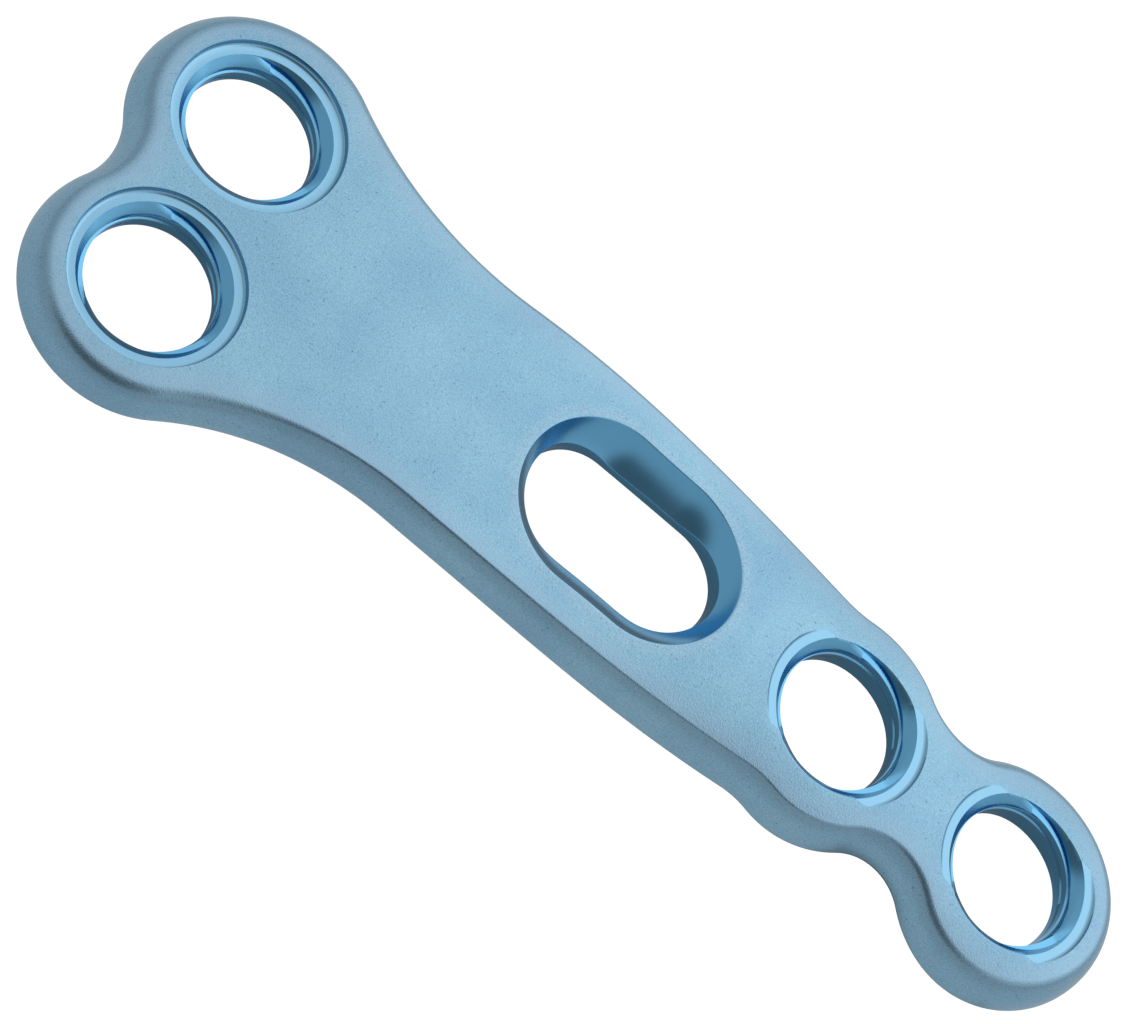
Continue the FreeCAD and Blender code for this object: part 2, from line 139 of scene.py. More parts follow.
def touching(first, second, radius):
    """Centre of the circle that touches two others from outside, on the left of the way
    between them: the third corner of the triangle whose sides are the sums of the radii."""
    way = second[0] - first[0]
    apart = np.hypot(*way)
    reach_a, reach_b = first[1] + radius, second[1] + radius
    along = (reach_a ** 2 - reach_b ** 2 + apart ** 2) / (2 * apart)
    aside = math.sqrt(reach_a ** 2 - along ** 2)
    unit = way / apart
    return first[0] + unit * along + np.array([-unit[1], unit[0]]) * aside


def outline_circles():
    """The ring of circles, clockwise from the notch: centre, radius, bulges outward."""
    lobe = (np.array([LOBE_RADIUS - PLATE_LENGTH / 2, LOBE_SPACING / 2]), LOBE_RADIUS)
    side = (np.array([SHAFT_WIDEST, SHAFT_HALF_WIDTH - SIDE_RADIUS]), SIDE_RADIUS)
    shoulder = (np.array([SHOULDER_PLACE, 0.0]), SHOULDER_RADIUS)
    tail = (np.array([PLATE_LENGTH / 2 - TAIL_RADIUS, 0.0]), TAIL_RADIUS)
    flip = np.array([1.0, -1.0])
    low_lobe = (lobe[0] * flip, LOBE_RADIUS)
    notch = (touching(low_lobe, lobe, NOTCH_RADIUS), NOTCH_RADIUS)
    flare = (touching(lobe, side, FLARE_RADIUS), FLARE_RADIUS)
    waist = (touching(side, shoulder, WAIST_RADIUS), WAIST_RADIUS)
    neck = (touching(shoulder, tail, NECK_RADIUS), NECK_RADIUS)
    upper = [lobe, flare, side, waist, shoulder, neck]
    lower = [(centre * flip, radius) for centre, radius in reversed(upper)]
    bulges = [False] + [True, False] * 3 + [True] + [False, True] * 3
    return [c + (b,) for c, b in zip([notch] + upper + [tail] + lower, bulges)]


def trace_outline():
    """Walk each arc from where it touches the last circle to where it touches the next."""
    circles = outline_circles()
    points, outward = [], []
    for i, (centre, radius, bulges) in enumerate(circles):
        back = circles[i - 1][0] - centre
        ahead = circles[(i + 1) % len(circles)][0] - centre
        start, stop = math.atan2(back[1], back[0]), math.atan2(ahead[1], ahead[0])
        if bulges and stop > start:
            stop -= 2 * math.pi
        if not bulges and stop < start:
            stop += 2 * math.pi
        count = max(FEWEST_STEPS, int(abs(stop - start) * radius / OUTLINE_STEP))
        angle = np.linspace(start, stop, count, endpoint=False)
        ray = np.stack([np.cos(angle), np.sin(angle)], axis=1)
        points.append(centre + radius * ray)
        outward.append(ray if bulges else -ray)
    return np.concatenate(points), np.concatenate(outward)


rim, rim_out = trace_outline()


def outward_fall(spots, height):
    """Angle at which a face falls towards the outside: the arctangent of its drop over a
    short way across these spots, divided by that way."""
    near, far = spots - rim_out * PROBE, spots + rim_out * PROBE
    return np.arctan((height(*near.T) - height(*far.T)) / (2 * PROBE))


def side_face():
    """Each side is an arc, upright at the foot, that ends at the crest: its radius is inset
    squared plus height squared over twice the inset. A smaller circle rolls inside that arc
    and under the top face; it stands where it touches both, found by halving."""
    foot = underside_height(*(rim - rim_out * BOTTOM_EDGE).T) + BOTTOM_EDGE
    crest = rim - rim_out * CREST_INSET
    tilt = outward_fall(crest, top_height)
    height = top_height(*crest.T) - foot
    arc = (CREST_INSET ** 2 + height ** 2) / (2 * CREST_INSET)
    small = np.interp(rim[:, 0], CREST_PLACES, CREST_ROUNDS)
    inner = arc - small

    def centre(lean):
        """The small circle's centre: one small radius inside the arc, at this angle."""
        return arc - inner * np.sin(lean), foot + inner * np.cos(lean)

    def clear_of_top(lean):
        """Height by which the small circle stands over the top face."""
        inset, level = centre(lean)
        touch = rim - rim_out * (inset - small * np.sin(tilt))[:, None]
        return level + small * np.cos(tilt) - top_height(*touch.T)

    lean = crossing(np.full(len(rim), LEAST_LEAN), np.full(len(rim), MOST_LEAN), clear_of_top)
    centre_inset, centre_level = centre(lean)
    crest_turn = tilt + (lean - tilt) * np.linspace(0, 1, CREST_ROWS)[:, None]
    side_turn = lean + (math.pi / 2 - lean) * np.linspace(0, 1, SIDE_ROWS)[1:, None]
    inward = np.concatenate([centre_inset - small * np.sin(crest_turn),
                             arc - arc * np.sin(side_turn)])
    level = np.concatenate([centre_level + small * np.cos(crest_turn),
                            foot + arc * np.cos(side_turn)])
    level[0] = top_height(*(rim - rim_out * inward[0][:, None]).T)
    flat = rim[None] - rim_out[None] * inward[..., None]
    return np.concatenate([flat, level[..., None]], axis=-1)


def foot_round():
    """A small ball rolls between the upright foot of the side and the hollow underside. Its
    centre stands one radius in from the rim and one radius off the underside."""
    tilt = np.zeros(len(rim))
    for _ in range(PASSES):
        touch = rim - rim_out * (BOTTOM_EDGE * (1.0 + np.sin(tilt)))[:, None]
        tilt = outward_fall(touch, underside_height)
    centre_height = underside_height(*touch.T) + BOTTOM_EDGE * np.cos(tilt)
    turn = math.pi / 2 + (math.pi / 2 + tilt) * np.linspace(0, 1, FOOT_ROWS)[:, None]
    inward = BOTTOM_EDGE - BOTTOM_EDGE * np.sin(turn)
    flat = rim[None] - rim_out[None] * inward[..., None]
    return np.concatenate([flat, (centre_height + BOTTOM_EDGE * np.cos(turn))[..., None]], axis=-1)


upper_roll = side_face()
lower_roll = foot_round()
wall = np.concatenate([upper_roll, lower_roll])
wall_tint = np.zeros(wall.shape[:2] + (len(TINTS),))
wall_tint[:, :, EDGE_SHEEN] = np.interp(np.arange(len(wall)), SHEEN_ROWS, SHEEN_SHARES)[:, None]
add_rings(wall, wall_tint)


# The four locking holes. Each is turned square to the curved top: a shallow round recess, a
# tapered seat with a fine right-hand thread of three starts, and a plain bore below it.

HOLE_SPACING, END_DISTANCE, INNER_HOLE_PLACE = 4.91, 2.95, 6.8
RECESS_RADIUS, RECESS_DEPTH, RECESS_ROUND = 2.21, 0.22, 0.12
SEAT_RADIUS, BORE_RADIUS, BORE_START = 1.925, 1.645, 0.44
FOOT_RADIUS, FOOT_DEPTH = 1.66, 1.0          # the bore opens a little on its way down
SEAT_BLEND, BLEND_RUN = 0.06, 0.05           # softening between seat and bore; its onset
SHAFT_HOLE_LIFT = 0.10       # the two shaft holes are sunk less deep than those of the head
THREAD_STARTS, THREAD_PITCH, THREAD_DEPTH = 3, 0.30, 0.045
THREAD_OPEN = 0.34           # share of the pitch that the groove takes
THREAD_FADE_IN, THREAD_END = 0.05, 0.95      # run in which a groove deepens; its last depth
THREAD_ANGLE = math.radians(122)
LOWER_GROOVES = 3            # grooves that begin below the edge of the seat
EDGE_BREAK = 0.012           # softening where the skin turns over a hole's rim
FOOT_BREAK = 0.02            # deburred lower edge of a hole
RIM_SLOPE = 200.0            # the recess's rim is as good as upright
LIP_MARGINS = 0.005, 0.05    # the lip lies between the bore and the recess, give or take these
APRON = (0.05, 0.03, 0.015, 0.006, 0.0)      # rings outside the lip, the last one on it
ROUND_SHARES = (0.985, 0.95, 0.88, 0.78, 0.65, 0.5, 0.34, 0.17, 0.0)    # down to the floor
FLOOR_RADII = (1.99, SEAT_RADIUS + 0.012, SEAT_RADIUS)   # rings on the floor, to the seat
FLOOR_SHARE, SEAT_SHARE = 0.5, 1.0           # how far floor and seat are machined
HOLE_STEPS = 192
hole_turn = np.linspace(0, 2 * math.pi, HOLE_STEPS + 1)

# A groove and its land are nine rows of points: one on the edge of the groove's roof, four
# down its upright back, and four over the ledge and the land as far as the next roof.
GROOVE_SHARES = np.array([0.0, 0.0, 0.33, 0.67, 1.0, 1.0, 1.0, 1.0, 1.0])[:, None]
LAND_SHARES = np.array([0.0, 0.0, 0.0, 0.0, 0.0, 0.15, 0.40, 0.70, 0.95])[:, None]
ON_BACK = np.array([0.0, 1.0, 1.0, 1.0, 1.0, 0.0, 0.0, 0.0, 0.0])[:, None]
ROOF_SLANT = np.array([0.0] + [0.03] * 8)[:, None]


def soft_lower(first, second, width):
    """The lower of two heights, rounded where they cross: half of their sum less the root of
    gap squared plus width squared."""
    return 0.5 * (first + second - np.sqrt((first - second) ** 2 + width * width))


def cutter_height(radius):
    """Height of the turned profile over its own axis: the seat's slope, a flat floor, and a
    quarter round up to the rim, radius squared less distance from its centre squared."""
    from_centre = np.clip(radius - (RECESS_RADIUS - RECESS_ROUND), 0.0, RECESS_ROUND)
    floor = RECESS_ROUND - RECESS_DEPTH - np.sqrt(RECESS_ROUND ** 2 - from_centre ** 2)
    floor = floor + RIM_SLOPE * np.maximum(radius - RECESS_RADIUS, 0.0)
    seat = np.interp(radius, [BORE_RADIUS, SEAT_RADIUS], [-BORE_START, -RECESS_DEPTH])
    return np.where(radius > SEAT_RADIUS, floor, seat)


def bare_wall(depth):
    """Radius of the hole without its thread: a tapered seat, then a bore that opens a little;
    where they cross it is half their sum plus half the root of gap squared plus width squared."""
    share = (depth - RECESS_DEPTH) / (BORE_START - RECESS_DEPTH)
    seat = SEAT_RADIUS + (BORE_RADIUS - SEAT_RADIUS) * share
    bore = np.interp(depth, [BORE_START, FOOT_DEPTH], [BORE_RADIUS, FOOT_RADIUS])
    blend = SEAT_BLEND * np.clip((depth - RECESS_DEPTH) / BLEND_RUN, 0.0, 1.0)
    return 0.5 * (seat + bore + np.sqrt((seat - bore) ** 2 + blend ** 2))


def hole_axes(x, y, crown, lift):
    """A hole's middle on the top face, its axis square to that face, and the ray that turns
    clockwise: cosine of the angle times one way across, plus sine times the other."""
    lean_x, lean_y = math.asin(x / ARCH_RADIUS), math.asin(y / crown)
    middle = np.array([x, y, MIDDLE_TOP - arc_drop(x, ARCH_RADIUS) - arc_drop(y, crown) + lift])
    axis = np.array([math.sin(lean_x) * math.cos(lean_y), math.sin(lean_y),
                     math.cos(lean_x) * math.cos(lean_y)])
    across = np.cross([0.0, 1.0, 0.0], axis)
    across /= np.linalg.norm(across)
    aside = np.cross(axis, across)
    clockwise = THREAD_ANGLE - hole_turn
    ray = np.cos(clockwise)[:, None] * across + np.sin(clockwise)[:, None] * aside
    return middle, axis, ray


def in_hole(hole, radius, height):
    """Points about a hole's axis: its middle, plus radius times the turning ray, plus height
    times the axis."""
    middle, axis, ray = hole
    return middle + radius[..., None] * ray + height[..., None] * axis


def face_height(hole, radius, face):
    """Height over a hole's middle, along its axis, at which a ring meets a broad face. Each
    pass adds the gap that is left, divided by the axis's own rise."""
    axis = hole[1]
    height = np.zeros_like(radius)
    for _ in range(PASSES):
        spot = in_hole(hole, radius, height)
        height = height + (face(spot[..., 0], spot[..., 1]) - spot[..., 2]) / axis[2]
    return height


def recess_rings(hole):
    """From the top face over the lip and down to the seat: each ring lies at the lower of the
    face's height and the cutter's. Returns the rings and the lip's radius and height."""
    low = np.full(len(hole_turn), BORE_RADIUS + LIP_MARGINS[0])
    high = np.full(len(hole_turn), RECESS_RADIUS + LIP_MARGINS[1])
    lip = crossing(low, high, lambda r: face_height(hole, r, top_height) - cutter_height(r))
    round_centre = RECESS_RADIUS - RECESS_ROUND
    radii = [lip + step for step in APRON]
    radii += [np.minimum(lip, round_centre + RECESS_ROUND * share) for share in ROUND_SHARES]
    radii += [np.minimum(lip, radius) for radius in FLOOR_RADII]
    radii = np.stack(radii)
    face = face_height(hole, radii, top_height)
    heights = soft_lower(face, cutter_height(radii), EDGE_BREAK)
    heights[0] = face[0]
    heights[-1] = np.where(lip > SEAT_RADIUS, -RECESS_DEPTH, heights[-1])
    return in_hole(hole, radii, heights), lip, heights[len(APRON) - 1]


def threaded_rings(hole, lip, lip_height):
    """Down the seat and the bore. Each groove's roof goes down by the pitch times the number
    of starts in a turn; its back stands upright, one thread depth outside the roof's edge."""
    rows = []
    for groove in range(-THREAD_STARTS, LOWER_GROOVES):
        roof = RECESS_DEPTH + THREAD_PITCH * (groove + THREAD_STARTS * hole_turn / (2 * math.pi))
        fade = smooth_step((roof - RECESS_DEPTH) / THREAD_FADE_IN)
        fade = fade * smooth_step((THREAD_END - roof) / THREAD_PITCH)
        share = THREAD_OPEN * fade * GROOVE_SHARES + ROOF_SLANT
        share = share + (1.0 - share) * LAND_SHARES
        depth = np.clip(roof + THREAD_PITCH * share, RECESS_DEPTH, THREAD_END)
        wall_radius = bare_wall(depth)
        roof_radius = bare_wall(np.clip(roof, RECESS_DEPTH, THREAD_END))
        cut = ON_BACK * (roof_radius - wall_radius + THREAD_DEPTH * fade)
        rows.append(np.stack([depth, wall_radius, cut]))
    depth, wall_radius, cut = np.concatenate(rows, axis=1)
    # Where the tight crown has dropped below the seat's edge, the rows lie on the lip.
    in_air = wall_radius > lip
    radius = np.minimum(wall_radius + cut, np.maximum(lip, wall_radius))
    radius = np.where(in_air, lip, radius)
    height = np.where(in_air, lip_height, -depth)
    return in_hole(hole, radius, np.minimum(height, face_height(hole, radius, top_height)))


def foot_rings(hole):
    """The end of the threaded wall, the end of the bore, and the deburred edge beyond it."""
    wall_end = bare_wall(np.full(len(hole_turn), THREAD_END))
    foot = np.full(len(hole_turn), FOOT_RADIUS)
    sole = face_height(hole, foot, underside_height)
    bore = in_hole(hole, np.stack([wall_end, foot]),
                   np.stack([np.full_like(sole, -THREAD_END), sole + FOOT_BREAK]))
    wide = foot + FOOT_BREAK
    edge = in_hole(hole, wide, face_height(hole, wide, underside_height))
    return np.concatenate([bore, edge[None]])


def add_strip(rings, tint):
    """Join a grid whose first and last columns meet. Row by row a groove closes on the one
    that lies as many grooves lower as the thread has starts."""
    count, around = rings.shape[:2]
    number = np.arange(count * around).reshape(count, around)
    faces = np.stack([number[:-1, :-1], number[:-1, 1:], number[1:, 1:], number[1:, :-1]], axis=-1)
    add_skin(rings.reshape(-1, 3), faces.reshape(-1, 4), tint.reshape(-1, len(TINTS)))


def screw_hole(x, y, crown, lift):
    """Add one hole to the skin, ring under ring from the top face to the underside, and
    return the two loops that meet the broad faces."""
    hole = hole_axes(x, y, crown, lift)
    recess, lip, lip_height = recess_rings(hole)
    rings = np.concatenate([recess, threaded_rings(hole, lip, lip_height), foot_rings(hole)])
    tint = np.zeros(rings.shape[:2] + (len(TINTS),))
    tint[len(APRON) - 1:, :, MACHINED] = FLOOR_SHARE
    tint[len(recess):, :, MACHINED] = SEAT_SHARE
    add_strip(rings, tint)
    return rings[0, :-1], rings[-1, :-1]


hole_end = PLATE_LENGTH / 2 - END_DISTANCE
top_loops, sole_loops = [], []
for hole_x, hole_y, hole_crown, hole_lift in (
        (-hole_end, HOLE_SPACING / 2, HEAD_CROWN, 0.0),
        (-hole_end, -HOLE_SPACING / 2, HEAD_CROWN, 0.0),
        (INNER_HOLE_PLACE, 0.0, TAIL_CROWN, SHAFT_HOLE_LIFT),
        (hole_end, 0.0, TAIL_CROWN, SHAFT_HOLE_LIFT)):
    over, under = screw_hole(hole_x, hole_y, hole_crown, hole_lift)
    top_loops.append(over)
    sole_loops.append(under)


# The long slot. A ball cutter, moved a short way along the shaft, sinks a hollow seat for
# round screw heads; below it stands a straight wall, thin at the sides and taller at the ends.

SLOT_LENGTH, SLOT_WIDTH = 5.45, 2.9
BALL_RADIUS, BALL_HEIGHT, BALL_TRAVEL = 2.67, 1.4, 0.82
BALL_RISE, RISE_RUN_OUT = 0.03, 0.6          # the ball is higher half way; end of that rise
SLOT_BREAK = 0.018           # softening of the slot's rim
LAND_BREAK = 0.004           # softening between the hollow seat and the straight wall
SLOT_STEP = 0.06
WIDEST_SEAT = 1.6            # the seat's rim lies nearer to the straight wall than this
SCUFF_REACH = (0.38, 0.28, 0.18, 0.10, 0.05, 0.015)      # rings outside the seat's rim
SCUFF_SHARES = (0.0, 0.5, 0.8, 1.0, 0.8, 0.5)            # how worn each of them is
SEAT_SHARES = (1.0, 0.985, 0.965, 0.93, 0.87, 0.78, 0.68, 0.57, 0.46, 0.35, 0.25, 0.16, 0.09,
               0.04)         # rings from the seat's rim to the straight wall


def slot_line():
    """Points round the straight wall and the way out of it: two half rounds, cosine and sine
    of the angle times half the width, and two straight runs between them."""
    radius = SLOT_WIDTH / 2
    reach = SLOT_LENGTH / 2 - radius
    bend = np.linspace(-math.pi / 2, math.pi / 2, int(math.pi * radius / SLOT_STEP),
                       endpoint=False)
    run = np.linspace(reach, -reach, int(2 * reach / SLOT_STEP), endpoint=False)
    out = np.stack([np.cos(bend), np.sin(bend)], axis=1)
    up = np.tile([0.0, 1.0], (len(run), 1))
    half = np.concatenate([out * radius + [reach, 0.0], np.stack([run, 0 * run + radius], axis=1)])
    ways = np.concatenate([out, up])
    return np.concatenate([half, -half]), np.concatenate([ways, -ways])


def ball_height(x, y):
    """Underside of a ball moved along a line: centre height less root of radius squared less
    distance squared. The ball rises a little between its two ends, so the ends bulge."""
    away = np.hypot(np.maximum(np.abs(x) - BALL_TRAVEL, 0.0), y)
    rise = BALL_RISE * (1.0 - smooth_step(np.abs(x) / (BALL_TRAVEL + RISE_RUN_OUT)))
    deep = np.sqrt(np.maximum(BALL_RADIUS ** 2 - away ** 2, 0.0))
    return MIDDLE_TOP + BALL_HEIGHT + rise - deep


slot_points, slot_out = slot_line()


def slot_spot(step):
    """Points this far out from the straight wall: the wall's own, plus the step times the
    way out."""
    return slot_points + slot_out * step[..., None]


slot_lip = crossing(np.zeros(len(slot_points)), np.full(len(slot_points), WIDEST_SEAT),
                    lambda s: top_height(*slot_spot(s).T) - ball_height(*slot_spot(s).T))
seat_steps = [slot_lip + reach for reach in SCUFF_REACH]
seat_steps += [slot_lip * share for share in SEAT_SHARES]
seat_steps += [np.full_like(slot_lip, LAND_BREAK)]
seat_spots = slot_spot(np.stack(seat_steps))
slot_top = top_height(seat_spots[..., 0], seat_spots[..., 1])
seat_level = soft_lower(slot_top, ball_height(seat_spots[..., 0], seat_spots[..., 1]), SLOT_BREAK)
seat_level[0] = slot_top[0]
hollow_seat = np.concatenate([seat_spots, seat_level[..., None]], axis=-1)
land_top = ball_height(*slot_points.T) - LAND_BREAK
land_foot = underside_height(*slot_points.T) + FOOT_BREAK
land_levels = (land_top, (land_top + land_foot) / 2, land_foot)
land = [np.column_stack([slot_points, height]) for height in land_levels]
sole_edge = slot_points + slot_out * FOOT_BREAK
land.append(np.column_stack([sole_edge, underside_height(*sole_edge.T)]))
slot_rings = np.concatenate([hollow_seat, np.stack(land)])
slot_tint = np.zeros(slot_rings.shape[:2] + (len(TINTS),))
slot_tint[:len(SCUFF_SHARES), :, SLOT_SCUFF] = np.array(SCUFF_SHARES)[:, None]
slot_tint[len(SCUFF_SHARES):, :, MACHINED] = SEAT_SHARE
add_rings(slot_rings, slot_tint)
top_loops.append(slot_rings[0])
sole_loops.append(slot_rings[-1])


# The two broad faces. Each is a net of small triangles between the rolled edge and the
# holes, laid on the crowned surface; it is one skin with the edges once the seams are welded.

NET_STEP = 0.24
NET_CLEAR = 0.10             # the net's own points keep this far from an edge
NET_HALF_LENGTH, NET_HALF_WIDTH = 16.0, 6.0
NET_TOLERANCE = 1e-6
EDGE_SHEEN_REACH = 0.75      # the sheen of the crest fades out over this width
BATCH, NEAREST_PARTS = 4000, 8               # points are measured in parts, to spare memory
LEVEL_RUN = 1e-12            # stands in for the rise of a link that runs level
MILLIMETRE = 0.001
WELD_DISTANCE = 1.5e-7       # metres
SHARP_ANGLE = math.radians(38)


def inside(points, loops):
    """Even-odd rule: a point is in the metal if a ray from it crosses the loops an odd number
    of times."""
    crossed = np.zeros(len(points), dtype=int)
    for loop in loops:
        a, b = loop[:, :2], np.roll(loop[:, :2], -1, axis=0)
        rise = np.where(b[:, 1] == a[:, 1], LEVEL_RUN, b[:, 1] - a[:, 1])
        for part in range(0, len(points), BATCH):
            p = points[part:part + BATCH, None, :]
            spans = (a[None, :, 1] > p[..., 1]) != (b[None, :, 1] > p[..., 1])
            meets = a[:, 0] + (p[..., 1] - a[:, 1]) * (b[:, 0] - a[:, 0]) / rise
            crossed[part:part + BATCH] += (spans & (p[..., 0] < meets)).sum(axis=1)
    return crossed % 2 == 1


def nearest(points, others):
    """Distance from each point to the nearest of the others: the least root of the sum of
    squares of the two offsets."""
    distances = []
    for p in np.array_split(points, NEAREST_PARTS):
        along = p[:, None, 0] - others[None, :, 0]
        across = p[:, None, 1] - others[None, :, 1]
        distances.append(np.hypot(along, across).min(axis=1))
    return np.concatenate(distances)


def broad_face(edge, loops, height):
    """Fill the face between its edge and its openings with a Delaunay net over a staggered
    grid, and lift each point to the face's height at its place."""
    borders = [edge] + loops
    rows = np.arange(-NET_HALF_WIDTH, NET_HALF_WIDTH, NET_STEP * math.sqrt(3) / 2)
    columns = np.arange(-NET_HALF_LENGTH, NET_HALF_LENGTH, NET_STEP)
    grid_x, grid_y = np.meshgrid(columns, rows)
    grid_x = grid_x + (np.arange(len(rows)) % 2)[:, None] * NET_STEP / 2
    grid = np.column_stack([grid_x.ravel(), grid_y.ravel()])
    border_points = np.concatenate(borders)
    grid = grid[inside(grid, borders)]
    grid = grid[nearest(grid, border_points) > NET_CLEAR]
    flat_points = np.concatenate([border_points[:, :2], grid])
    links, start = [], 0
    for border in borders:
        number = np.arange(start, start + len(border))
        links.append(np.column_stack([number, np.roll(number, -1)]))
        start += len(border)
    links = np.concatenate(links)
    net = delaunay_2d_cdt([Vector(p) for p in flat_points.tolist()], links.tolist(), [], 0,
                          NET_TOLERANCE)
    origin = np.array([source[0] if source else -1 for source in net[3]])
    triangles = origin[np.array(net[2])]
    triangles = triangles[(triangles >= 0).all(axis=1)]
    middles = flat_points[triangles].mean(axis=1)
    triangles = triangles[inside(middles, borders)]
    levels = np.concatenate([border_points[:, 2], height(*grid.T)])
    tint = np.zeros((len(flat_points), len(TINTS)))
    sheen = nearest(flat_points, edge) / EDGE_SHEEN_REACH
    tint[:, EDGE_SHEEN] = 1.0 - smooth_step(sheen)
    corners = np.column_stack([triangles, triangles[:, 2]])
    add_skin(np.column_stack([flat_points, levels]), corners, tint)


broad_face(upper_roll[0], top_loops, top_height)
broad_face(lower_roll[-1], sole_loops, underside_height)

plate_mesh = bpy.data.meshes.new("plate_skin")
plate_points = np.concatenate(skin_points) * MILLIMETRE
# A triangle is kept as four corners of which the last two are one.
plate_faces = [f[:3] if f[2] == f[3] else f for f in np.concatenate(skin_faces).tolist()]
plate_mesh.from_pydata(plate_points.tolist(), [], plate_faces)
for channel, layer_name in zip(TINTS, ("edge_sheen", "slot_scuff", "machined")):
    layer = plate_mesh.attributes.new(layer_name, "FLOAT", "POINT")
    layer.data.foreach_set("value", np.concatenate(skin_tint)[:, channel].astype(np.float32))
skin = bmesh.new()
skin.from_mesh(plate_mesh)
bmesh.ops.remove_doubles(skin, verts=skin.verts, dist=WELD_DISTANCE)
bmesh.ops.recalc_face_normals(skin, faces=skin.faces)
open_edges = sum(1 for edge in skin.edges if len(edge.link_faces) != 2)
print("plate skin:", len(skin.verts), "points,", len(skin.faces), "faces,",
      open_edges, "open edges")
skin.to_mesh(plate_mesh)
skin.free()
plate_mesh.shade_smooth()
plate_mesh.set_sharp_from_angle(angle=SHARP_ANGLE)
plate = bpy.data.objects.new("anodised_plate", plate_mesh)
bpy.context.scene.collection.objects.link(plate)


# The finish: titanium, blasted with fine beads and then anodised light blue. The oxide film
# tints the metal's own reflection, the blasting leaves a fine speckle, and the film is paler
# and greyer along the rims, partly from wear and partly as a painted sheen of light on the
# edges, and paler where screws have rubbed round the slot.

FILM_DEEP, FILM_PALE, FILM_STOPS = "#84b0cb", "#8ebad2", (0.35, 0.65)
# The rims' paler grey is partly the film's wear and partly a painted sheen of light on the edges.
WORN_EDGE_AND_SHEEN, RUBBED = "#98b6cd", "#b2c0cc"
CUT_FLOOR, CUT_SEAT = "#8cbfdd", "#74bae4"   # smooth cut metal shows a deeper blue
BLASTED_ROUGHNESS, CUT_ROUGHNESS = 0.26, 0.19
BLASTED_RELIEF, CUT_RELIEF = 0.30, 0.08
PIT_DEPTH = 0.00002          # metres
# Cells of each pattern to the metre.
GRAIN_CELLS = 23000.0        # 0.04 mm: 0.05 mm beads leave pits about 0.08 mm apart
DRIFT_CELLS = 420.0          # 2.4 mm: slow drift of the film's colour
PATCH_CELLS = 24000.0        # 0.04 mm: scuffs of about 0.1 mm where the film is broken
# Painted shade: single deeper pits are not cut into the surface but drawn as dark dots in the
# colour.
PIT_SHADE_CELLS = 15000.0          # 0.07 mm: single deeper pits, which read as dark dots
# What each pattern does: from this span of it to this span of brightness or cover.
GRAIN_FLECKS = dict(in_1=0.30, in_2=0.70, in_3=0.82, in_4=1.12)
PIT_SHADE_DOTS = dict(in_1=0.24, in_2=0.32, in_3=0.62, in_4=1.0)
RUBBED_SPOTS = dict(in_1=0.47, in_2=0.60, in_3=0.0, in_4=0.55)


def linear(code):
    """Turn an sRGB hex value into linear light: a dark channel is divided by 12.92, another is
    channel plus 0.055, over 1.055, to the power 2.4."""
    channels = [int(code[i:i + 2], 16) / 255 for i in (1, 3, 5)]
    light = [c / 12.92 if c <= 0.04045 else ((c + 0.055) / 1.055) ** 2.4 for c in channels]
    return light + [1.0]


def add_node(tree, kind, links=(), **settings):
    """Add one node; settings name its properties or inputs, links pair an input with an output."""
    node = tree.nodes.new(kind)
    for key, value in settings.items():
        if key.startswith("in_"):
            spot = key[3:].replace("_", " ")
            spot = int(spot) if spot.isdigit() else spot
            node.inputs[spot].default_value = value
        else:
            setattr(node, key, value)
    for spot, source in links:
        tree.links.new(node.inputs[spot], source)
    return node


titanium = bpy.data.materials.new("bead_blasted_blue_anodised_titanium")
titanium.use_nodes = True
tree = titanium.node_tree
tree.nodes.clear()
place = add_node(tree, "ShaderNodeTexCoord")
edge_sheen = add_node(tree, "ShaderNodeAttribute", attribute_name="edge_sheen")
slot_scuff = add_node(tree, "ShaderNodeAttribute", attribute_name="slot_scuff")
machined = add_node(tree, "ShaderNodeAttribute", attribute_name="machined")
grain = add_node(tree, "ShaderNodeTexNoise", [("Vector", place.outputs["Object"])],
                 in_Scale=GRAIN_CELLS, in_Detail=2.0, in_Roughness=0.7)
drift = add_node(tree, "ShaderNodeTexNoise", [("Vector", place.outputs["Object"])],
                 in_Scale=DRIFT_CELLS, in_Detail=3.0, in_Roughness=0.5)
patch = add_node(tree, "ShaderNodeTexNoise", [("Vector", place.outputs["Object"])],
                 in_Scale=PATCH_CELLS, in_Detail=3.0, in_Roughness=0.7)
film = add_node(tree, "ShaderNodeValToRGB", [("Fac", drift.outputs["Fac"])])
film.color_ramp.elements[0].position = FILM_STOPS[0]
film.color_ramp.elements[1].position = FILM_STOPS[1]
film.color_ramp.elements[0].color = linear(FILM_DEEP)
film.color_ramp.elements[1].color = linear(FILM_PALE)
fleck = add_node(tree, "ShaderNodeMapRange", [("Value", grain.outputs["Fac"])], **GRAIN_FLECKS)
# Painted shade of single deeper pits: dark dots multiplied into the film's colour.
pit_shade = add_node(tree, "ShaderNodeTexNoise", [("Vector", place.outputs["Object"])],
               in_Scale=PIT_SHADE_CELLS, in_Detail=1.0, in_Roughness=0.5)
pit_shade_dots = add_node(tree, "ShaderNodeMapRange", [("Value", pit_shade.outputs["Fac"])], **PIT_SHADE_DOTS)
speck = add_node(tree, "ShaderNodeMath", [(0, fleck.outputs["Result"]), (1, pit_shade_dots.outputs["Result"])],
                 operation="MULTIPLY")
flecked = add_node(tree, "ShaderNodeVectorMath",
                   [(0, film.outputs["Color"]), (1, speck.outputs[0])], operation="MULTIPLY")
